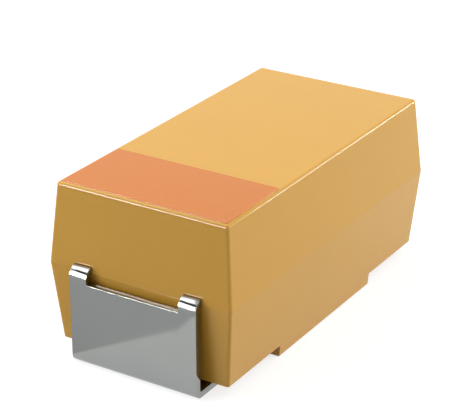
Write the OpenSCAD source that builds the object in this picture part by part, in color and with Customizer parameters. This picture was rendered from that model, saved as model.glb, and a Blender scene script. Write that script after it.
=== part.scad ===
// Moulded tantalum chip capacitor for surface mounting, in millimetres.
// X runs along the length, with the positive end at -X. Y runs across the width.
// Z is up from the board, and the origin is the middle of the footprint on the board.

/* [Case] */
// Length of the case at its parting line
case_length = 5.86; // [5.5:0.01:7.5]
// Width of the case at its parting line
case_width = 3.10; // [2.9:0.01:4.5]
// Height of the case above its parting line
case_above = 1.25; // [1.15:0.01:2]
// Draft of the end and side faces, above and below the parting line
draft_angle = 5; // [1:0.5:8]
// Radius on the top edges and the upright corners
edge_radius = 0.045; // [0.02:0.005:0.1]
// Radius on the edges of the underside
under_radius = 0.02; // [0.01:0.005:0.04]
// Length of the glue pad that stands down from the underside
pad_length = 2.79; // [1.5:0.01:3]
// Height of the glue pad's face above the board
pad_standoff = 0.01; // [0:0.005:0.08]

/* [Polarity band] */
// Distance from the top edge of the positive end to the far side of the band
band_reach = 1.44; // [0.5:0.01:2]
// Bare margin between the band and the radius on the top edges
band_margin = 0.005; // [0:0.005:0.1]
// Thickness of the ink film
ink_film = 0.012; // [0.01:0.001:0.03]

/* [Terminals] */
// Thickness of the lead frame sheet
sheet = 0.10; // [0.08:0.005:0.15]
// Width of both terminals
terminal_width = 2.16; // [1.8:0.01:2.4]
// Height of the parting line, where the leads leave the case, above the board
lead_height = 1.45; // [1.35:0.01:1.8]
// Length of each foot, from the outside of its end plate
foot_length = 1.30; // [0.8:0.01:1.6]
// Gap between each foot and the case above it
foot_gap = 0.09; // [0.04:0.01:0.15]
// Inside radius of the bend where a lead leaves the case
shoulder_radius = 0.06; // [0.04:0.01:0.12]
// Inside radius of the bend at the heel of a foot
heel_radius = 0.03; // [0.02:0.01:0.1]
// Width of the notch between the two ears of the positive lead
notch_width = 1.57; // [1:0.01:1.7]
// Depth of the notch below the parting line
notch_drop = 0.125; // [0.08:0.005:0.3]
// Distance that the notch runs on into the case
notch_reach = 0.20; // [0.1:0.01:0.3]
// Gap between the positive lead's weld tab and the washer
tab_gap = 0.20; // [0.1:0.01:0.3]
// Height of the parting line above the face of the negative paddle
paddle_drop = 0.69; // [0.6:0.01:0.8]
// Distance from the front of the pellet to the free edge of the paddle
paddle_setback = 0.50; // [0.3:0.01:1]
// Inside radius of the two bends in the negative lead's step
step_radius = 0.06; // [0.04:0.01:0.1]
// Gap between the capacitor element and the step
step_gap = 0.04; // [0.02:0.01:0.1]

/* [Capacitor element] */
// Case wall beside the element, at the parting line
side_wall = 0.36; // [0.3:0.01:0.6]
// Case wall above the element
top_wall = 0.22; // [0.15:0.01:0.4]
// Distance from the positive end of the case to the front of the pellet
front_room = 1.33; // [1.2:0.01:1.6]
// Distance from the back of the element to the negative end of the case
rear_room = 0.95; // [0.7:0.01:1.3]
// Chamfer along the long edges of the pellet
pellet_chamfer = 0.12; // [0.05:0.01:0.2]
// Diameter of the riser wire
wire_diameter = 0.24; // [0.18:0.01:0.3]
// Length of wire inside the pellet
wire_depth = 2.40; // [1:0.05:2.6]
// Length of wire welded to the tab
weld_length = 0.45; // [0.3:0.01:0.5]
// Depth to which the weld flattens the wire
weld_flat = 0.02; // [0.01:0.005:0.04]
// Outside diameter of the insulating washer
washer_diameter = 0.80; // [0.5:0.01:1]
// Thickness of the insulating washer
washer_thickness = 0.15; // [0.1:0.01:0.2]

/* [Coats] */
// Thickness of the manganese dioxide on the pellet
dioxide_coat = 0.05; // [0.03:0.005:0.08]
// Thickness of the carbon over the manganese dioxide
carbon_coat = 0.02; // [0.01:0.005:0.04]
// Thickness of the silver over the carbon
silver_coat = 0.04; // [0.02:0.005:0.06]
// Distance that each outer coat stops short of the one below it, at the front
coat_step = 0.12; // [0.05:0.01:0.2]
// Thickness of the adhesive between the silver and the paddle
adhesive_coat = 0.04; // [0.02:0.005:0.08]
// Bare margin round the adhesive
adhesive_margin = 0.08; // [0.04:0.01:0.2]

/* [Hidden] */

$fn = 48;
// Facets round the case's small edge radii
edge_facets = 32;

// Case
half_length = case_length / 2;
half_width = case_width / 2;
case_top = lead_height + case_above;
end_underside = sheet + foot_gap;
// Draft's share of the width, from the parting line to the top
top_inset = case_above * tan(draft_angle);

// Leads
tab_top = lead_height + sheet;
shoulder_outer = shoulder_radius + sheet;
heel_outer = heel_radius + sheet;
step_outer = step_radius + sheet;
plate_face = half_length + shoulder_outer;
paddle_top = lead_height - paddle_drop;

// Element, from the pellet outwards
stack_coat = dioxide_coat + carbon_coat + silver_coat;
pellet_front = -half_length + front_room;
pellet_back = half_length - rear_room - stack_coat;
pellet_width = case_width - 2 * (side_wall + stack_coat);
pellet_bottom = paddle_top + adhesive_coat + stack_coat;
pellet_top = case_top - top_wall - stack_coat;
dioxide_front = pellet_front - dioxide_coat;
carbon_front = dioxide_front + coat_step;
silver_front = carbon_front + coat_step;
stack_back = pellet_back + stack_coat;

// Wire, washer and weld tab
wire_height = tab_top + wire_diameter / 2 - weld_flat;
washer_front = pellet_front - washer_thickness;
tab_end = washer_front - tab_gap;

// Step of the negative lead: the face of its upright that looks at the element
step_face = stack_back + step_gap + step_radius;
paddle_end = pellet_front + paddle_setback;

// Overshoot of what is subtracted, past the face it opens
past = 1;

lead_colour = "#A6AAA9";

// ---- Shared forms ----

// Ball with a point at its top, so that what it rounds reaches its full height
module ball(radius) {
    rotate_extrude()
        intersection() {
            circle(r = radius);
            translate([0, -radius])
                square([radius, 2 * radius]);
        }
}

// Half of the case as moulded, from the parting plane up to height.
// The base circles give the sharp parting line and the balls the outer edges,
// and each side face is the plane that both touch.
module drafted_half(height, radius) {
    centre = height - radius;
    inset = centre * tan(draft_angle) + radius / cos(draft_angle);
    $fn = edge_facets;
    hull()
        for (sx = [-1, 1], sy = [-1, 1]) {
            translate([sx * (half_length - edge_radius), sy * (half_width - edge_radius), 0])
                cylinder(h = edge_radius, r1 = edge_radius, r2 = edge_radius / 2);
            translate([sx * (half_length - inset), sy * (half_width - inset), centre])
                ball(radius);
        }
}

// Side view of the glue pad, with its lower corners rounded, reaching up into the case
module pad_outline() {
    translate([-pad_length / 2, pad_standoff + under_radius])
        square([pad_length, lead_height - pad_standoff - under_radius]);
    translate([under_radius - pad_length / 2, pad_standoff])
        square([pad_length - 2 * under_radius, under_radius]);
    for (side = [-1, 1])
        translate([side * (pad_length / 2 - under_radius), pad_standoff + under_radius])
            circle(r = under_radius);
}

// The whole case before anything is set into it
module case_form() {
    translate([0, 0, lead_height]) {
        drafted_half(case_above, edge_radius);
        mirror([0, 0, 1])
            drafted_half(lead_height - end_underside, under_radius);
    }
    intersection() {
        translate([0, 0, lead_height])
            mirror([0, 0, 1])
                drafted_half(lead_height - pad_standoff, under_radius);
        rotate([90, 0, 0])
            linear_extrude(case_width, center = true)
                pad_outline();
    }
}

// Straight run of a lead's side view, between two corners
module run(from, to) {
    translate(from)
        square(to - from);
}

// Quarter bend of a lead's side view, about its centre. A turn of 0 is the quarter
// between +X and +Y, and each further turn is the next quarter anticlockwise.
module bend(centre, inner, turn) {
    translate(centre)
        rotate(90 * turn)
            intersection() {
                difference() {
                    circle(r = inner + sheet);
                    circle(r = inner);
                }
                square(inner + sheet);
            }
}

// Side view of the part of a lead outside the case, drawn for the negative end
module outer_lead() {
    run([plate_face - foot_length, 0], [plate_face - heel_outer, sheet]);
    bend([plate_face - heel_outer, heel_outer], heel_radius, 3);
    run([plate_face - sheet, heel_outer], [plate_face, lead_height - shoulder_radius]);
    bend([half_length, lead_height - shoulder_radius], shoulder_radius, 0);
}

// Extrudes a side view to the width of the terminals
module lead_strip() {
    rotate([90, 0, 0])
        linear_extrude(terminal_width, center = true)
            children();
}

// Block of the pellet's section, grown all round by a coat, between two stations along X
module stack_block(coat, front, back) {
    right = pellet_width / 2 + coat;
    bottom = pellet_bottom - coat;
    top = pellet_top + coat;
    cut = pellet_chamfer + coat * (2 - sqrt(2));
    translate([front, 0, 0])
        rotate([90, 0, 90])
            linear_extrude(back - front)
                polygon([
                    [right, bottom + cut], [right, top - cut],
                    [right - cut, top], [cut - right, top],
                    [-right, top - cut], [-right, bottom + cut],
                    [cut - right, bottom], [right - cut, bottom]
                ]);
}

module dioxide_block() { stack_block(dioxide_coat, dioxide_front, pellet_back + dioxide_coat); }
module carbon_block() {
    stack_block(dioxide_coat + carbon_coat, carbon_front, stack_back - silver_coat);
}
module silver_block() { stack_block(stack_coat, silver_front, stack_back); }

// Round bar along the riser wire's axis, between two stations along X
module wire_bar(diameter, from, to) {
    translate([from, 0, wire_height])
        rotate([0, 90, 0])
            cylinder(h = to - from, d = diameter);
}

// ---- Sub-parts ----

// Moulded round the leads and the element, so they are what it is hollow for
module moulded_case() {
    color("#E2AE63")
        difference() {
            case_form();
            positive_terminal();
            negative_terminal();
            dioxide_block();
            carbon_block();
            silver_block();
            insulating_washer();
            riser_wire();
            silver_adhesive();
        }
}

module polarity_band() {
    bare = edge_radius + band_margin;
    color("#DB8F55")
        translate([top_inset + bare - half_length, top_inset + bare - half_width, case_top])
            cube([band_reach - bare, case_width - 2 * (top_inset + bare), ink_film]);
}

module positive_terminal() {
    color(lead_colour)
        difference() {
            lead_strip() {
                mirror([1, 0])
                    outer_lead();
                run([-half_length, lead_height], [tab_end, tab_top]);
            }
            translate([-plate_face - past, -notch_width / 2, lead_height - notch_drop])
                cube([plate_face + past - half_length + notch_reach, notch_width, notch_drop + sheet + past]);
        }
}

module negative_terminal() {
    color(lead_colour)
        lead_strip() {
            outer_lead();
            run([step_face + step_outer, lead_height], [half_length, tab_top]);
            bend([step_face + step_outer, lead_height - step_radius], step_radius, 1);
            run([step_face, paddle_top + step_radius], [step_face + sheet, lead_height - step_radius]);
            bend([step_face - step_radius, paddle_top + step_radius], step_radius, 3);
            run([paddle_end, paddle_top - sheet], [step_face - step_radius, paddle_top]);
        }
}

module tantalum_pellet() {
    color("#4B4C52")
        difference() {
            stack_block(0, pellet_front, pellet_back);
            wire_bar(wire_diameter, pellet_front - past, pellet_front + wire_depth);
        }
}

// The tip lies flattened on the weld tab
module riser_wire() {
    color("#8C8E96")
        difference() {
            wire_bar(wire_diameter, tab_end - weld_length, pellet_front + wire_depth);
            translate([tab_end - weld_length - past, -wire_diameter, tab_top - past])
                cube([weld_length + past, 2 * wire_diameter, past]);
        }
}

module insulating_washer() {
    color("#F1F1EB")
        difference() {
            wire_bar(washer_diameter, washer_front, pellet_front);
            wire_bar(wire_diameter, washer_front - past, pellet_front + past);
        }
}

module manganese_dioxide_layer() {
    color("#1F1C1B")
        difference() {
            dioxide_block();
            stack_block(0, pellet_front, pellet_back);
            wire_bar(washer_diameter, washer_front, pellet_front);
        }
}

module carbon_layer() {
    color("#303033")
        difference() {
            carbon_block();
            dioxide_block();
        }
}

module silver_layer() {
    color("#C8CACD")
        difference() {
            silver_block();
            carbon_block();
            dioxide_block();
        }
}

module silver_adhesive() {
    silver_flat = pellet_width + 2 * stack_coat - 2 * (pellet_chamfer + stack_coat * (2 - sqrt(2)));
    width = min(terminal_width, silver_flat) - 2 * adhesive_margin;
    front = max(paddle_end, silver_front) + adhesive_margin;
    color("#AEB1B5")
        translate([front, -width / 2, paddle_top])
            cube([stack_back - adhesive_margin - front, width, adhesive_coat]);
}

moulded_case();
polarity_band();
positive_terminal();
negative_terminal();
tantalum_pellet();
riser_wire();
insulating_washer();
manganese_dioxide_layer();
carbon_layer();
silver_layer();
silver_adhesive();
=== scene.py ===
"""Looks of a moulded tantalum chip capacitor, built round its packed frame.

The frame holds every solid at its place. The pieces that show (the case, its ink band and
the two leads) are modelled again here with rounded edges, and everything gets its finish.
"""

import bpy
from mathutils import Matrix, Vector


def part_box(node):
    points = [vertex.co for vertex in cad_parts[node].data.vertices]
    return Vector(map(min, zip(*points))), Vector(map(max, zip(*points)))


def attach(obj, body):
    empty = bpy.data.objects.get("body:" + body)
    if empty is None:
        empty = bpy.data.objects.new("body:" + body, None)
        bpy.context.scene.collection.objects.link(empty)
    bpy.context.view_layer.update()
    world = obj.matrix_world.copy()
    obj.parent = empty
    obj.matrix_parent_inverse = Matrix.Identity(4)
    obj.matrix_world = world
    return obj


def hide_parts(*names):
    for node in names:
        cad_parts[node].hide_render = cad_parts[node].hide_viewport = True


bl_info = {
    "name": "Tantalum chip capacitor",
    "version": (1, 0, 0),
    "blender": (4, 5, 0),
    "location": "3D View > Sidebar > Capacitor",
    "description": "Builds and finishes a moulded tantalum chip capacitor",
    "category": "Object",
}

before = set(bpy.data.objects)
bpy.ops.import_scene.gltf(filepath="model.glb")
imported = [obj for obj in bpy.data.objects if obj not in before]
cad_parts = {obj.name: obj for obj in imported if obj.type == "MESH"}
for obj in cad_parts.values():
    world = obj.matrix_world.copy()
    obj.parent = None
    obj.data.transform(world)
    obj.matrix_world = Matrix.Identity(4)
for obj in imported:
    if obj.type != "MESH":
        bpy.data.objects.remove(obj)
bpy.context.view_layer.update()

import math

import bmesh
import bpy
from bpy.props import FloatProperty, FloatVectorProperty, PointerProperty
from mathutils import Matrix, Vector

MM = 0.001  # a millimetre, in metres
NEAR = 1e-5  # millimetres within which two heights count as one


# ---- Sizes read from the frame, in millimetres ----


def box_mm(node):
    """Lowest and highest corner of a CAD node, in millimetres."""
    low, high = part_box(node)
    return low / MM, high / MM


CASE_LOW, CASE_HIGH = box_mm("moulded_case")
LEAD_LOW, LEAD_HIGH = box_mm("positive_terminal")
OTHER_LOW, OTHER_HIGH = box_mm("negative_terminal")
BAND_LOW, BAND_HIGH = box_mm("polarity_band")
PADDLE_TOP = box_mm("silver_adhesive")[0].z  # the adhesive lies on the negative lead's paddle
ELEMENT_BACK = box_mm("silver_layer")[1].x
WASHER_FRONT = box_mm("insulating_washer")[0].x


# ---- Colour and node helpers ----

WHITE = (1.0, 1.0, 1.0, 1.0)


def linear(code):
    """The linear colour, with alpha, of an sRGB hex code such as #E2AE63."""
    parts = [int(code[i:i + 2], 16) / 255 for i in (1, 3, 5)]
    return [c / 12.92 if c <= 0.04045 else ((c + 0.055) / 1.055) ** 2.4 for c in parts] + [1.0]


def toned(colour, factor):
    """A colour made darker or lighter by a factor."""
    return [min(1.0, c * factor) for c in colour[:3]] + [1.0]


def add(tree, kind, inputs=None, output=None, **settings):
    """Adds a node with its settings and returns one of its outputs.

    An input, called by its name or number, is linked where it is given a socket and set
    where it is given a value. The output is the one called for, or the first in use.
    """
    node = tree.nodes.new(kind)
    for name, value in settings.items():
        setattr(node, name, value)
    for name, value in (inputs or {}).items():
        if isinstance(name, int):
            socket = node.inputs[name]
        else:
            socket = next(s for s in node.inputs if s.name == name and s.enabled)
        if isinstance(value, bpy.types.NodeSocket):
            tree.links.new(value, socket)
        else:
            socket.default_value = value
    return next((s for s in node.outputs if s.enabled and output in (None, s.name)), None)


def new_material(name):
    """An empty node material, its tree and the surface's place on the part in millimetres."""
    material = bpy.data.materials.new(name)
    material.use_nodes = True
    tree = material.node_tree
    tree.nodes.clear()
    metres = add(tree, "ShaderNodeTexCoord", output="Object")
    place = add(tree, "ShaderNodeVectorMath", {0: metres, 1: (1 / MM,) * 3}, operation="MULTIPLY")
    return material, tree, place


def finish_material(tree, shader_inputs):
    """Ends a material in one principled shader."""
    shader = add(tree, "ShaderNodeBsdfPrincipled", shader_inputs)
    add(tree, "ShaderNodeOutputMaterial", {"Surface": shader})


# ---- Finishes. The sizes of their patterns are in millimetres ----

RESIN_IOR = 1.5
RESIN_SHINE = 0.25  # half the usual level, since the room that the resin mirrors is all white


def moulded_epoxy(colour):
    """Epoxy filled with silica, transfer-moulded in a fine spark-eroded mould.

    The pigment is even and the skin a soft gloss, and up close it shows the faint mottle of
    the filler. Its grains are about 0.02 mm, drawn at twice that so that they show.
    """
    flow_size, grain_size, grain_depth = 1.4, 0.045, 0.0005
    material, tree, place = new_material("moulded_epoxy")
    flow = add(tree, "ShaderNodeTexNoise", {"Vector": place, "Scale": 1 / flow_size, "Detail": 3.0})
    body = add(
        tree, "ShaderNodeMix", {0: flow, "A": toned(colour, 0.97), "B": toned(colour, 1.03)},
        data_type="RGBA",
    )
    grain = add(
        tree, "ShaderNodeTexNoise",
        {"Vector": place, "Scale": 1 / grain_size, "Detail": 3.0, "Roughness": 0.65},
    )
    speck = add(
        tree, "ShaderNodeMapRange",
        {"Value": grain, "From Min": 0.58, "From Max": 0.78, "To Min": 0.0, "To Max": 0.3},
    )
    tint = add(
        tree, "ShaderNodeMix", {0: speck, "A": body, "B": toned(colour, 0.86)}, data_type="RGBA"
    )
    gloss = add(
        tree, "ShaderNodeMapRange",
        {"Value": grain, "From Min": 0.3, "From Max": 0.7, "To Min": 0.09, "To Max": 0.13},
    )
    skin = add(
        tree, "ShaderNodeBump", {"Height": grain, "Strength": 0.3, "Distance": grain_depth * MM}
    )
    finish_material(tree, {
        "Base Color": tint, "Roughness": gloss, "IOR": RESIN_IOR,
        "Specular IOR Level": RESIN_SHINE, "Normal": skin,
    })
    return material


def marking_ink(colour):
    """Pad-printed epoxy ink: a thin even film, a little more matt than the case under it.

    It levels as it cures, which leaves a soft orange peel about 0.1 mm across.
    """
    peel_size, peel_depth, pigment_size = 0.11, 0.0005, 0.035
    material, tree, place = new_material("marking_ink")
    peel = add(tree, "ShaderNodeTexNoise", {"Vector": place, "Scale": 1 / peel_size, "Detail": 2.0})
    pigment = add(
        tree, "ShaderNodeTexNoise", {"Vector": place, "Scale": 1 / pigment_size, "Roughness": 0.6}
    )
    tint = add(
        tree, "ShaderNodeMix", {0: pigment, "A": toned(colour, 0.94), "B": toned(colour, 1.06)},
        data_type="RGBA",
    )
    gloss = add(
        tree, "ShaderNodeMapRange",
        {"Value": peel, "From Min": 0.3, "From Max": 0.7, "To Min": 0.13, "To Max": 0.18},
    )
    skin = add(
        tree, "ShaderNodeBump", {"Height": peel, "Strength": 0.3, "Distance": peel_depth * MM}
    )
    finish_material(tree, {
        "Base Color": tint, "Roughness": gloss, "IOR": RESIN_IOR,
        "Specular IOR Level": RESIN_SHINE, "Normal": skin,
    })
    return material


def bright_tin(colour):
    """Electroplated tin on a rolled lead frame: a near-mirror with a faint rolling grain.

    The rolling lines run along the strip. They are finer than 0.01 mm and are drawn 0.02 mm
    apart so that they show, and the tone shifts softly where the bath left more tin. The
    colour is darker than bare tin's, since the floor and room that it mirrors are all white.
    """
    line_length, line_depth, bath_size = 0.25, 0.0003, 1.3
    closer_across = (1.0, 12.0, 1.0)
    material, tree, place = new_material("bright_tin")
    drawn = add(tree, "ShaderNodeVectorMath", {0: place, 1: closer_across}, operation="MULTIPLY")
    lines = add(
        tree, "ShaderNodeTexNoise",
        {"Vector": drawn, "Scale": 1 / line_length, "Detail": 4.0, "Roughness": 0.6},
    )
    bath = add(tree, "ShaderNodeTexNoise", {"Vector": place, "Scale": 1 / bath_size, "Detail": 1.5})
    tint = add(
        tree, "ShaderNodeMix", {0: bath, "A": toned(colour, 0.92), "B": toned(colour, 1.08)},
        data_type="RGBA",
    )
    gloss = add(
        tree, "ShaderNodeMapRange",
        {"Value": lines, "From Min": 0.3, "From Max": 0.7, "To Min": 0.08, "To Max": 0.14},
    )
    skin = add(
        tree, "ShaderNodeBump", {"Height": lines, "Strength": 0.3, "Distance": line_depth * MM}
    )
    finish_material(tree, {
        "Base Color": tint, "Metallic": 1.0, "Roughness": gloss, "Normal": skin,
    })
    return material


def sintered_tantalum():
    """Pressed and sintered tantalum powder: a dull dark grey sponge of fine clumps."""
    clump_size, clump_depth = 0.03, 0.01
    material, tree, place = new_material("sintered_tantalum")
    clumps = add(tree, "ShaderNodeTexVoronoi", {"Vector": place, "Scale": 1 / clump_size})
    tint = add(
        tree, "ShaderNodeMix", {0: clumps, "A": linear("#5A5B61"), "B": linear("#2E2F33")},
        data_type="RGBA",
    )
    skin = add(
        tree, "ShaderNodeBump", {"Height": clumps, "Distance": clump_depth * MM}, invert=True
    )
    finish_material(tree, {
        "Base Color": tint, "Metallic": 0.7, "Roughness": 0.6, "Normal": skin,
    })
    return material


def drawn_tantalum():
    """Drawn tantalum wire: blue-grey metal with fine die lines along its length."""
    line_length, line_depth = 0.3, 0.001
    closer_round = (1.0, 20.0, 20.0)
    material, tree, place = new_material("drawn_tantalum")
    drawn = add(tree, "ShaderNodeVectorMath", {0: place, 1: closer_round}, operation="MULTIPLY")
    lines = add(
        tree, "ShaderNodeTexNoise", {"Vector": drawn, "Scale": 1 / line_length, "Detail": 3.0}
    )
    tint = add(
        tree, "ShaderNodeMix", {0: lines, "A": linear("#7F828B"), "B": linear("#9A9CA3")},
        data_type="RGBA",
    )
    gloss = add(tree, "ShaderNodeMapRange", {"Value": lines, "To Min": 0.2, "To Max": 0.45})
    skin = add(tree, "ShaderNodeBump", {"Height": lines, "Distance": line_depth * MM})
    finish_material(tree, {
        "Base Color": tint, "Metallic": 1.0, "Roughness": gloss, "Normal": skin,
    })
    return material


def skived_ptfe():
    """PTFE skived from a billet and punched to a washer: waxy white with cutter marks."""
    mark_size, mark_depth = 0.25, 0.002
    material, tree, place = new_material("skived_ptfe")
    marks = add(
        tree, "ShaderNodeTexWave",
        {"Vector": place, "Scale": 1 / mark_size, "Distortion": 1.5, "Detail": 2.0},
        output="Fac", bands_direction="Z",
    )
    tint = add(
        tree, "ShaderNodeMix", {0: marks, "A": linear("#E9E9E2"), "B": linear("#F6F6F1")},
        data_type="RGBA",
    )
    gloss = add(tree, "ShaderNodeMapRange", {"Value": marks, "To Min": 0.4, "To Max": 0.5})
    skin = add(tree, "ShaderNodeBump", {"Height": marks, "Distance": mark_depth * MM})
    finish_material(tree, {"Base Color": tint, "Roughness": gloss, "IOR": 1.35, "Normal": skin})
    return material


def fired_dioxide():
    """Manganese dioxide fired on from solution: a black crust of small crystals."""
    crystal_size, crust_depth = 0.05, 0.012
    material, tree, place = new_material("fired_dioxide")
    crust = add(
        tree, "ShaderNodeTexNoise",
        {"Vector": place, "Scale": 1 / crystal_size, "Detail": 5.0, "Roughness": 0.7},
    )
    tint = add(
        tree, "ShaderNodeMix", {0: crust, "A": linear("#0F0D0C"), "B": linear("#322D2B")},
        data_type="RGBA",
    )
    gloss = add(tree, "ShaderNodeMapRange", {"Value": crust, "To Min": 0.5, "To Max": 0.95})
    skin = add(tree, "ShaderNodeBump", {"Height": crust, "Distance": crust_depth * MM})
    finish_material(tree, {"Base Color": tint, "Roughness": gloss, "Normal": skin})
    return material


def dried_graphite():
    """Graphite dried from a dip: dark grey with the sheen of flat flakes."""
    flake_size, flake_depth = 0.04, 0.004
    material, tree, place = new_material("dried_graphite")
    flakes = add(tree, "ShaderNodeTexVoronoi", {"Vector": place, "Scale": 1 / flake_size})
    tint = add(
        tree, "ShaderNodeMix", {0: flakes, "A": linear("#3C3C40"), "B": linear("#202023")},
        data_type="RGBA",
    )
    gloss = add(tree, "ShaderNodeMapRange", {"Value": flakes, "To Min": 0.35, "To Max": 0.6})
    skin = add(
        tree, "ShaderNodeBump", {"Height": flakes, "Distance": flake_depth * MM}, invert=True
    )
    finish_material(tree, {
        "Base Color": tint, "Metallic": 0.4, "Roughness": gloss, "Normal": skin,
    })
    return material


def silver_flake(name, light, dark, flake_size):
    """Silver flake in a binder, painted or cured: pale grey, a soft sheen and a flake grain."""
    flake_depth = 0.004
    material, tree, place = new_material(name)
    flakes = add(
        tree, "ShaderNodeTexNoise",
        {"Vector": place, "Scale": 1 / flake_size, "Detail": 4.0, "Roughness": 0.65},
    )
    tint = add(
        tree, "ShaderNodeMix", {0: flakes, "A": linear(dark), "B": linear(light)},
        data_type="RGBA",
    )
    gloss = add(tree, "ShaderNodeMapRange", {"Value": flakes, "To Min": 0.35, "To Max": 0.7})
    skin = add(tree, "ShaderNodeBump", {"Height": flakes, "Distance": flake_depth * MM})
    finish_material(tree, {
        "Base Color": tint, "Metallic": 0.8, "Roughness": gloss, "Normal": skin,
    })
    return material


def seen_rays(tree):
    """One for the rays of the camera and of shiny or clear surfaces, and zero for others."""
    camera = add(tree, "ShaderNodeLightPath", output="Is Camera Ray")
    glossy = add(tree, "ShaderNodeLightPath", output="Is Glossy Ray")
    through = add(tree, "ShaderNodeLightPath", output="Is Transmission Ray")
    shiny = add(tree, "ShaderNodeMath", {0: glossy, 1: through}, operation="MAXIMUM")
    return add(tree, "ShaderNodeMath", {0: camera, 1: shiny}, operation="MAXIMUM")


def paper_floor(colour, glow):
    """Matt pale paper. Where it is seen it glows a little, which brings it to the white of
    the backdrop, while it still shows the part's shadow."""
    fibre_size = 2.5
    material, tree, place = new_material("paper_floor")
    fibre = add(
        tree, "ShaderNodeTexNoise", {"Vector": place, "Scale": 1 / fibre_size, "Detail": 3.0}
    )
    paper = add(
        tree, "ShaderNodeMix", {0: fibre, "A": toned(colour, 0.99), "B": toned(colour, 1.01)},
        data_type="RGBA",
    )
    lift = add(tree, "ShaderNodeMath", {0: seen_rays(tree), 1: glow}, operation="MULTIPLY")
    finish_material(tree, {
        "Base Color": paper, "Roughness": 0.9, "Specular IOR Level": 0.0,
        "Emission Color": WHITE, "Emission Strength": lift,
    })
    return material


def card_stock(name, code, glow):
    """Matt card with a faint fibre, which glows as the floor does where it lies on it."""
    fibre_size = 1.0
    material, tree, place = new_material(name)
    fibre = add(tree, "ShaderNodeTexNoise", {"Vector": place, "Scale": 1 / fibre_size})
    tint = add(
        tree, "ShaderNodeMix",
        {0: fibre, "A": toned(linear(code), 0.95), "B": toned(linear(code), 1.05)},
        data_type="RGBA",
    )
    finish_material(tree, {
        "Base Color": tint, "Roughness": 0.95, "Specular IOR Level": 0.1,
        "Emission Color": WHITE, "Emission Strength": glow,
    })
    return material


# ---- Mesh helpers. Meshes are built in millimetres, where bevels keep their precision ----


def finish_piece(bm, name, material, node, sharp_line=None):
    """Turns a mesh in millimetres into a piece in metres that stands for its CAD node.

    Edges over 30 degrees stay sharp, and so do those at the height sharp_line. Every other
    edge shades smoothly, with flat faces keeping their own direction.
    """
    bmesh.ops.recalc_face_normals(bm, faces=bm.faces)
    for face in bm.faces:
        face.smooth = True
    for edge in bm.edges:
        level = sharp_line is not None and all(
            abs(v.co.z - sharp_line) < NEAR for v in edge.verts
        )
        edge.smooth = not level and edge.calc_face_angle(0.0) < math.radians(30)
    bmesh.ops.scale(bm, vec=(MM,) * 3, verts=bm.verts)
    mesh = bpy.data.meshes.new(name)
    bm.to_mesh(mesh)
    bm.free()
    mesh.materials.append(material)
    piece = bpy.data.objects.new(name, mesh)
    bpy.context.scene.collection.objects.link(piece)
    normals = piece.modifiers.new("flat_faces_lead", "WEIGHTED_NORMAL")
    normals.keep_sharp = True
    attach(piece, "root")
    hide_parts(node)
    return piece


def round_edges(bm, edges, radius, segments):
    """Rounds edges of a mesh."""
    bmesh.ops.bevel(
        bm, geom=edges, offset=radius, offset_type="OFFSET", segments=segments, profile=0.5,
        affect="EDGES", clamp_overlap=False,
    )


# ---- Case ----


def case_cage(size):
    """Sharp-cornered case: drafted above and below the parting line, with the glue pad."""
    bm = bmesh.new()
    parting = LEAD_HIGH.z - size.sheet / MM
    slope = math.tan(size.draft)

    def corners(x, z):
        """Four corners at height z, at x or at the drafted end face, going round."""
        inset = abs(z - parting) * slope
        x = CASE_HIGH.x - inset if x is None else x
        y = CASE_HIGH.y - inset
        return [bm.verts.new((sx * x, sy * y, z)) for sx, sy in ((-1, -1), (1, -1), (1, 1), (-1, 1))]

    pad = size.pad_length / MM / 2
    shelf = (size.sheet + size.foot_gap) / MM
    top = corners(None, CASE_HIGH.z)
    middle = corners(None, parting)
    under = corners(None, shelf)
    root = corners(pad, shelf)
    face = corners(pad, CASE_LOW.z)
    bm.faces.new(top)
    bm.faces.new(face)
    for i in range(4):
        j = (i + 1) % 4
        bm.faces.new((top[i], top[j], middle[j], middle[i]))
    for a, b in ((0, 1), (2, 3)):  # the long sides run on down the pad
        bm.faces.new((middle[a], middle[b], under[b], root[b], face[b], face[a], root[a], under[a]))
    for a, b in ((1, 2), (3, 0)):  # the ends stop at the shelf over the feet
        bm.faces.new((middle[a], middle[b], under[b], under[a]))
        bm.faces.new((under[a], under[b], root[b], root[a]))
        bm.faces.new((root[a], root[b], face[b], face[a]))
    bmesh.ops.recalc_face_normals(bm, faces=bm.faces)
    return bm, parting, shelf


def build_case(size, material):
    """The moulded case with its edges rounded as the mould's are."""
    bm, parting, shelf = case_cage(size)
    top_edges = [e for e in bm.edges if all(v.co.z > CASE_HIGH.z - NEAR for v in e.verts)]
    pad_height = shelf - CASE_LOW.z
    uprights = [
        e for e in bm.edges if abs(e.verts[0].co.z - e.verts[1].co.z) > pad_height + NEAR
    ]
    round_edges(bm, top_edges + uprights, size.edge_radius / MM, 8)
    under_edges = [
        e for e in bm.edges
        if all(v.co.z < shelf + NEAR for v in e.verts) and e.is_convex
        and e.calc_face_angle(0.0) > math.radians(45)
    ]
    round_edges(bm, under_edges, size.under_radius / MM, 4)
    return finish_piece(
        bm, "case_body", material, "moulded_case", sharp_line=parting
    )


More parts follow.
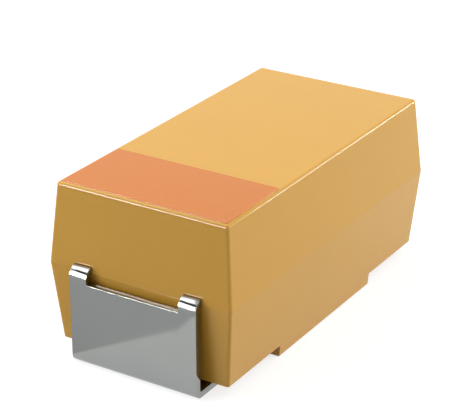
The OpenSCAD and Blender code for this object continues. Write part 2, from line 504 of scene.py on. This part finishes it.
def build_band(size, material):
    """The ink band: a film with slightly rounded corners and a soft lip."""
    bm = bmesh.new()
    low, high = BAND_LOW, BAND_HIGH
    base = [bm.verts.new((x, y, low.z)) for x, y in
            ((low.x, low.y), (high.x, low.y), (high.x, high.y), (low.x, high.y))]
    lid = [bm.verts.new((v.co.x, v.co.y, high.z)) for v in base]
    bm.faces.new(base)
    bm.faces.new(lid)
    for i in range(4):
        j = (i + 1) % 4
        bm.faces.new((base[i], base[j], lid[j], lid[i]))
    bmesh.ops.recalc_face_normals(bm, faces=bm.faces)
    uprights = [e for e in bm.edges if e.verts[0].co.z != e.verts[1].co.z]
    round_edges(bm, uprights, size.ink_corner / MM, 6)
    lip = [e for e in bm.edges if all(v.co.z > high.z - NEAR for v in e.verts)]
    lip_share = 0.6  # of the film's thickness
    round_edges(bm, lip, (high.z - low.z) * lip_share, 3)
    return finish_piece(bm, "ink_band", material, "polarity_band")


# ---- Leads ----

BEND_STEP = 5  # degrees of a bend for each of its flats


def side_view(start, heading, moves, sheet):
    """Left and right points, station by station, of a bent sheet seen from the side.

    A move is (length, None, mark) for a straight run, or (turn, radius, mark) for a bend,
    with the turn in degrees, anticlockwise, and its inside radius. A mark names the station
    at the end of its move.
    """
    left = Vector(start)
    angle = math.radians(heading)
    stations, marks = [], {}

    def across():
        return Vector((-math.sin(angle), math.cos(angle)))

    def put():
        stations.append((left.copy(), left - across() * sheet))

    put()
    for amount, radius, mark in moves:
        if radius is None:
            left = left + Vector((math.cos(angle), math.sin(angle))) * amount
            put()
        else:
            side = 1 if amount > 0 else -1
            centre = left + across() * (radius if side > 0 else -(sheet + radius))
            steps = max(6, round(abs(amount) / BEND_STEP))
            turn = math.radians(amount) / steps
            for _ in range(steps):
                left = centre + Matrix.Rotation(turn, 2) @ (left - centre)
                angle += turn
                put()
        if mark:
            marks[mark] = len(stations) - 1
    return stations, marks


def outside_moves(size, drop):
    """Moves of a lead from the free end of its foot up to where it enters the case."""
    sheet, heel, shoulder = size.sheet / MM, size.heel_radius / MM, size.shoulder_radius / MM
    upright = LEAD_HIGH.z - sheet - shoulder - (heel + sheet)
    below = drop - shoulder
    return [
        (size.foot_length / MM - heel - sheet, None, None),
        (-90, heel, None),
        (upright - below, None, "notch_floor"),
        (below, None, None),
        (-90, shoulder, None),
    ]


def bent_strip(stations, columns, missing):
    """Closed mesh of a bent sheet. columns are the places of its long cuts across the width,
    and missing(i, j) is true where the cell after station i and column j is cut away."""
    bm = bmesh.new()
    grid = [
        [[bm.verts.new((p.x, y, p.y)) for p in pair] for y in columns]
        for pair in stations
    ]
    rows, cols = len(stations) - 1, len(columns) - 1

    def solid(i, j):
        return 0 <= i < rows and 0 <= j < cols and not missing(i, j)

    for i in range(rows):
        for j in range(cols):
            if not solid(i, j):
                continue
            a, b, c, d = grid[i][j], grid[i][j + 1], grid[i + 1][j + 1], grid[i + 1][j]
            for side in (0, 1):
                bm.faces.new((a[side], b[side], c[side], d[side]))
            for open_side, p, q in (
                (not solid(i - 1, j), a, b), (not solid(i, j + 1), b, c),
                (not solid(i + 1, j), c, d), (not solid(i, j - 1), d, a),
            ):
                if open_side:
                    bm.faces.new((p[0], q[0], q[1], p[1]))
    loose = [v for v in bm.verts if not v.link_faces]
    bmesh.ops.delete(bm, geom=loose, context="VERTS")
    bmesh.ops.recalc_face_normals(bm, faces=bm.faces)
    return bm


def build_lead(size, material, positive):
    """One lead, a single folded strip, with the faint radius that stamping leaves on it."""
    sheet, drop = size.sheet / MM, size.notch_drop / MM
    half = LEAD_HIGH.y
    start = (LEAD_LOW.x + size.foot_length / MM, 0.0)
    moves = outside_moves(size, drop)
    entry = LEAD_LOW.x + size.shoulder_radius / MM + sheet
    if positive:
        reach, tab = size.notch_reach / MM, WASHER_FRONT - size.tab_gap / MM - entry
        moves += [(reach, None, "notch_end"), (tab - reach, None, None)]
        stations, marks = side_view(start, 180, moves, sheet)
        notch = size.notch_width / MM / 2
        bm = bent_strip(
            stations, [-half, -notch, notch, half],
            lambda i, j: j == 1 and marks["notch_floor"] <= i < marks["notch_end"],
        )
        name, node = "lead_positive", "positive_terminal"
    else:
        step = size.step_radius / MM
        face = ELEMENT_BACK + (size.step_gap + size.step_radius) / MM
        parting = LEAD_HIGH.z - sheet
        moves += [
            (-entry - face - sheet - step, None, None),
            (-90, step, None),
            (parting - PADDLE_TOP - 2 * step, None, None),
            (90, step, None),
            (face - step - OTHER_LOW.x, None, None),
        ]
        stations, marks = side_view(start, 180, moves, sheet)
        stations = [tuple(Vector((-p.x, p.y)) for p in pair) for pair in stations]
        bm = bent_strip(stations, [-half, half], lambda i, j: False)
        name, node = "lead_negative", "negative_terminal"
    corners = [e for e in bm.edges if e.calc_face_angle(0.0) > math.radians(60)]
    round_edges(bm, corners, size.sheet_edge / MM, 3)
    return finish_piece(bm, name, material, node)


# ---- Settings ----


def length(name, description, millimetres):
    """A length setting, stored in metres."""
    return FloatProperty(
        name=name, description=description, default=millimetres * MM, min=0.0,
        subtype="DISTANCE", unit="LENGTH", precision=6,
    )


def paint(name, description, code):
    """A colour setting, from an sRGB hex code."""
    return FloatVectorProperty(
        name=name, description=description, default=linear(code)[:3], size=3, min=0.0, max=1.0,
        subtype="COLOR",
    )


class CapacitorSizes(bpy.types.PropertyGroup):
    """Sizes that the frame's boxes don't give."""

    draft: FloatProperty(
        name="Draft", description="Slope of the case's end and side faces",
        default=math.radians(5), min=0.0, max=math.radians(10), subtype="ANGLE", unit="ROTATION",
    )
    edge_radius: length("Edge radius", "Radius on the case's top edges and upright corners", 0.045)
    under_radius: length("Underside radius", "Radius on the edges of the case's underside", 0.02)
    pad_length: length("Pad length", "Length of the glue pad under the case", 2.79)
    foot_gap: length("Foot gap", "Gap between each foot and the case above it", 0.09)
    ink_corner: length("Ink corner", "Radius at the corners of the ink band", 0.02)
    sheet: length("Sheet", "Thickness of the lead frame sheet", 0.10)
    sheet_edge: length("Sheet edge", "Radius on the stamped edges of the leads", 0.0035)
    foot_length: length("Foot length", "Length of each foot from the outside of its plate", 1.30)
    heel_radius: length("Heel radius", "Inside radius of the bend at the heel", 0.03)
    shoulder_radius: length("Shoulder radius", "Inside radius where a lead leaves the case", 0.06)
    notch_width: length("Notch width", "Width of the notch between the ears", 1.57)
    notch_drop: length("Notch drop", "Depth of the notch below the parting line", 0.125)
    notch_reach: length("Notch reach", "Distance that the notch runs into the case", 0.20)
    tab_gap: length("Tab gap", "Gap between the weld tab and the washer", 0.20)
    step_radius: length("Step radius", "Inside radius of the bends in the inner step", 0.06)
    step_gap: length("Step gap", "Gap between the element and the inner step", 0.04)


class CapacitorColours(bpy.types.PropertyGroup):
    """Colours of the finishes that show."""

    epoxy: paint("Epoxy", "Moulded case", "#E7AF48")
    ink: paint("Ink", "Polarity band", "#E08536")
    tin: paint("Tin", "Plating on the leads", "#959896")
    floor: paint("Floor", "Studio floor", "#B4B4B4")


class StudioSettings(bpy.types.PropertyGroup):
    """Camera, lamps and floor."""

    azimuth: FloatProperty(
        name="Azimuth", description="Camera's turn round the part, 0 looking along +Y",
        default=math.radians(-58.23), subtype="ANGLE", unit="ROTATION",
    )
    elevation: FloatProperty(
        name="Elevation", description="Camera's height above the horizon",
        default=math.radians(24.45), subtype="ANGLE", unit="ROTATION",
    )
    distance: length("Distance", "Camera's distance from its aim", 26.80)
    focal: FloatProperty(
        name="Focal length", description="Camera's focal length in millimetres", default=131.85,
        min=20.0, unit="CAMERA",
    )
    ambient: FloatProperty(
        name="Ambient", description="Strength of the even light from all round", default=0.42,
        min=0.0,
    )
    falloff: FloatProperty(
        name="Falloff", description="How much darker the room is on its dark side",
        default=0.75, min=0.0, max=1.0, subtype="FACTOR",
    )
    floor_size: FloatProperty(
        name="Floor size", description="Side of the square paper floor", default=1.0, min=0.1,
        subtype="DISTANCE", unit="LENGTH",
    )
    glow: FloatProperty(
        name="Floor glow", description="Share of white that the floor adds where it is seen",
        default=0.75, min=0.0,
    )


# ---- Stage ----

CAMERA_AIM = (-0.045, 0.121, 1.508)  # in millimetres
LAMP_AIM = Vector((0.0, 0.0, 1.3))  # in millimetres
DARK_SIDE = 212  # azimuth of the dark side of the room, in degrees

# Soft panels: name, azimuth and elevation in degrees, distance, width and height in
# millimetres, and radiance.
PANELS = (
    ("front_left_panel", 142, 19, 30, 24, 19, 1.6),
    ("back_left_panel", 95, 55, 24, 28, 13, 2.5),
    ("right_panel", 303, 20, 30, 36, 21, 1.95),
    ("high_right_panel", 300, 52, 30, 16, 16, 1.3),
)
# Strips that only shiny surfaces see, with the same values. They stand close to the part and
# draw the bright lines along its edges and bends.
STRIPS = (
    ("left_strip", 153.8, 7.7, 12.4, 7.5, 3.3, 40.0),
    ("left_strip_top", 153.8, 21.8, 12.8, 7.5, 2.9, 1.9),
    ("right_strip", 321, 1.8, 20.0, 8.5, 3.4, 18.0),
)
# Flags that only shiny surfaces see: name, four corners in millimetres, colour and glow. The
# first hangs over the left strip, and the second lies on the floor beside the positive lead.
FLAGS = (
    ("black_flag", ((-7.9, 9.8, 7.0), (-12.4, 2.0, 7.0), (-12.4, 2.0, 12.6), (-7.9, 9.8, 12.6)),
     "#141414", 0.0),
    ("grey_flag", ((-3.2, 1.25, 0.01), (-11.0, -3.6, 0.01), (-11.0, 9.0, 0.01), (-3.2, 9.0, 0.01)),
     "#6A6A6A", 0.60),
)


def place_camera(studio):
    """Camera aimed near the middle of the part."""
    aim = Vector(CAMERA_AIM) * MM
    back = Vector((
        math.sin(studio.azimuth) * math.cos(studio.elevation),
        -math.cos(studio.azimuth) * math.cos(studio.elevation),
        math.sin(studio.elevation),
    ))
    data = bpy.data.cameras.new("camera")
    data.lens = studio.focal
    data.sensor_width = 36.0
    data.clip_start = 1 * MM
    data.clip_end = 10.0
    camera = bpy.data.objects.new("camera", data)
    camera.location = aim + back * studio.distance
    camera.rotation_euler = (-back).to_track_quat("-Z", "Y").to_euler()
    bpy.context.scene.collection.objects.link(camera)
    bpy.context.scene.camera = camera


def toward(azimuth, elevation):
    """The direction at an azimuth from +X round to +Y and an elevation, both in degrees."""
    turn, lift = math.radians(azimuth), math.radians(elevation)
    level = Vector((math.cos(turn), math.sin(turn), 0.0)) * math.cos(lift)
    return level + Vector((0.0, 0.0, math.sin(lift)))


def soft_panel(name, azimuth, elevation, distance, width, height, radiance):
    """Soft panel that faces the part. Its radiance counts 1 as white, and its distance and
    size are in millimetres."""
    data = bpy.data.lights.new(name, "AREA")
    data.shape = "RECTANGLE"
    data.size = width * MM
    data.size_y = height * MM
    data.energy = radiance * math.pi * data.size * data.size_y
    lamp = bpy.data.objects.new(name, data)
    away = toward(azimuth, elevation)
    lamp.location = (away * distance + LAMP_AIM) * MM
    lamp.rotation_euler = (-away).to_track_quat("-Z", "Y").to_euler()
    lamp.visible_camera = False
    bpy.context.scene.collection.objects.link(lamp)
    return lamp


def shine_only(lamp):
    """Keeps a lamp for shine: it lights no matt surface, straight or by way of a shiny one."""
    lamp.visible_diffuse = False
    lamp.data.use_nodes = True
    tree = lamp.data.node_tree
    tree.nodes.clear()
    depth = add(tree, "ShaderNodeLightPath", output="Diffuse Depth")
    shiny = add(tree, "ShaderNodeMath", {0: depth, 1: 0.5}, operation="LESS_THAN")
    light = add(tree, "ShaderNodeEmission", {"Strength": shiny})
    add(tree, "ShaderNodeOutputLight", {"Surface": light})


def studio_world(ambient, falloff):
    """Soft light from all round, seen as white. It is weaker from the dark side of the room."""
    world = bpy.data.worlds.new("studio")
    world.use_nodes = True
    tree = world.node_tree
    tree.nodes.clear()
    direction = add(tree, "ShaderNodeTexCoord", output="Generated")
    toward_dark = add(
        tree, "ShaderNodeVectorMath", {0: direction, 1: toward(DARK_SIDE, 0)}, output="Value",
        operation="DOT_PRODUCT",
    )
    room = add(tree, "ShaderNodeMapRange", {
        "Value": toward_dark, "From Min": -1.0, "From Max": 1.0,
        "To Min": ambient * (1 + falloff), "To Max": ambient * (1 - falloff),
    })
    strength = add(
        tree, "ShaderNodeMapRange", {"Value": seen_rays(tree), "To Min": room, "To Max": 1.0}
    )
    light = add(tree, "ShaderNodeBackground", {"Color": WHITE, "Strength": strength})
    add(tree, "ShaderNodeOutputWorld", {"Surface": light})
    bpy.context.scene.world = world


def paper_sheet(size, material):
    """Square paper floor under the part, its size in metres."""
    bm = bmesh.new()
    bmesh.ops.create_grid(bm, x_segments=4, y_segments=4, size=size / 2)
    mesh = bpy.data.meshes.new("floor")
    bm.to_mesh(mesh)
    bm.free()
    mesh.materials.append(material)
    floor = bpy.data.objects.new("floor", mesh)
    bpy.context.scene.collection.objects.link(floor)


def flag(name, corners, code, glow):
    """Four-cornered card that only shiny surfaces see, with its corners in millimetres."""
    bm = bmesh.new()
    bm.faces.new([bm.verts.new(Vector(corner) * MM) for corner in corners])
    mesh = bpy.data.meshes.new(name)
    bm.to_mesh(mesh)
    bm.free()
    mesh.materials.append(card_stock(name, code, glow))
    sheet = bpy.data.objects.new(name, mesh)
    sheet.visible_camera = False
    sheet.visible_diffuse = False
    sheet.visible_transmission = False
    sheet.visible_shadow = False
    bpy.context.scene.collection.objects.link(sheet)


# ---- Operators ----


class CAPACITOR_OT_mould_case(bpy.types.Operator):
    """Mould the case round the frame"""

    bl_idname = "capacitor.mould_case"
    bl_label = "Mould the case"

    def execute(self, context):
        scene = context.scene
        build_case(scene.capacitor_sizes, moulded_epoxy(scene.capacitor_colours.epoxy))
        return {"FINISHED"}


class CAPACITOR_OT_print_band(bpy.types.Operator):
    """Print the polarity band on the case"""

    bl_idname = "capacitor.print_band"
    bl_label = "Print the band"

    def execute(self, context):
        scene = context.scene
        build_band(scene.capacitor_sizes, marking_ink(scene.capacitor_colours.ink))
        return {"FINISHED"}


class CAPACITOR_OT_fold_leads(bpy.types.Operator):
    """Fold and plate the two leads"""

    bl_idname = "capacitor.fold_leads"
    bl_label = "Fold the leads"

    def execute(self, context):
        scene = context.scene
        tin = bright_tin(scene.capacitor_colours.tin)
        for positive in (True, False):
            build_lead(scene.capacitor_sizes, tin, positive)
        return {"FINISHED"}


class CAPACITOR_OT_finish_element(bpy.types.Operator):
    """Give the element inside the case its finishes"""

    bl_idname = "capacitor.finish_element"
    bl_label = "Finish the element"

    def execute(self, context):
        finishes = {
            "tantalum_pellet": sintered_tantalum(),
            "riser_wire": drawn_tantalum(),
            "insulating_washer": skived_ptfe(),
            "manganese_dioxide_layer": fired_dioxide(),
            "carbon_layer": dried_graphite(),
            "silver_layer": silver_flake("silver_paint", "#D2D4D6", "#A9ABAE", 0.02),
            "silver_adhesive": silver_flake("silver_epoxy", "#BFC1C4", "#85878B", 0.05),
        }
        for node, material in finishes.items():
            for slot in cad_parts[node].material_slots:
                slot.material = material
        return {"FINISHED"}


class CAPACITOR_OT_set_stage(bpy.types.Operator):
    """Set the camera, lamps and floor"""

    bl_idname = "capacitor.set_stage"
    bl_label = "Set the stage"

    def execute(self, context):
        scene = context.scene
        studio = scene.capacitor_studio
        scene.view_settings.view_transform = "Standard"
        place_camera(studio)
        studio_world(studio.ambient, studio.falloff)
        paper_sheet(studio.floor_size, paper_floor(scene.capacitor_colours.floor, studio.glow))
        for panel in PANELS:
            soft_panel(*panel)
        for strip in STRIPS:
            shine_only(soft_panel(*strip))
        for card in FLAGS:
            flag(*card)
        return {"FINISHED"}


class CAPACITOR_PT_panel(bpy.types.Panel):
    """Builds the capacitor piece by piece"""

    bl_label = "Tantalum chip capacitor"
    bl_idname = "CAPACITOR_PT_panel"
    bl_space_type = "VIEW_3D"
    bl_region_type = "UI"
    bl_category = "Capacitor"

    def draw(self, context):
        for operator in OPERATORS:
            self.layout.operator(operator.bl_idname)
        for group in GROUPS:
            settings = getattr(context.scene, group)
            self.layout.label(text=settings.__doc__)
            for name in settings.bl_rna.properties.keys():
                if name not in ("rna_type", "name"):
                    self.layout.prop(settings, name)


OPERATORS = (
    CAPACITOR_OT_mould_case,
    CAPACITOR_OT_print_band,
    CAPACITOR_OT_fold_leads,
    CAPACITOR_OT_finish_element,
    CAPACITOR_OT_set_stage,
)
GROUPS = {
    "capacitor_sizes": CapacitorSizes,
    "capacitor_colours": CapacitorColours,
    "capacitor_studio": StudioSettings,
}


def register():
    for kind in (*GROUPS.values(), *OPERATORS, CAPACITOR_PT_panel):
        bpy.utils.register_class(kind)
    for name, group in GROUPS.items():
        setattr(bpy.types.Scene, name, PointerProperty(type=group))


def unregister():
    for name in GROUPS:
        delattr(bpy.types.Scene, name)
    for kind in reversed((*GROUPS.values(), *OPERATORS, CAPACITOR_PT_panel)):
        bpy.utils.unregister_class(kind)


def main():
    """Registers the add-on and builds every piece in order."""
    register()
    bpy.ops.capacitor.mould_case()
    bpy.ops.capacitor.print_band()
    bpy.ops.capacitor.fold_leads()
    bpy.ops.capacitor.finish_element()
    bpy.ops.capacitor.set_stage()


if __name__ == "__main__":
    main()
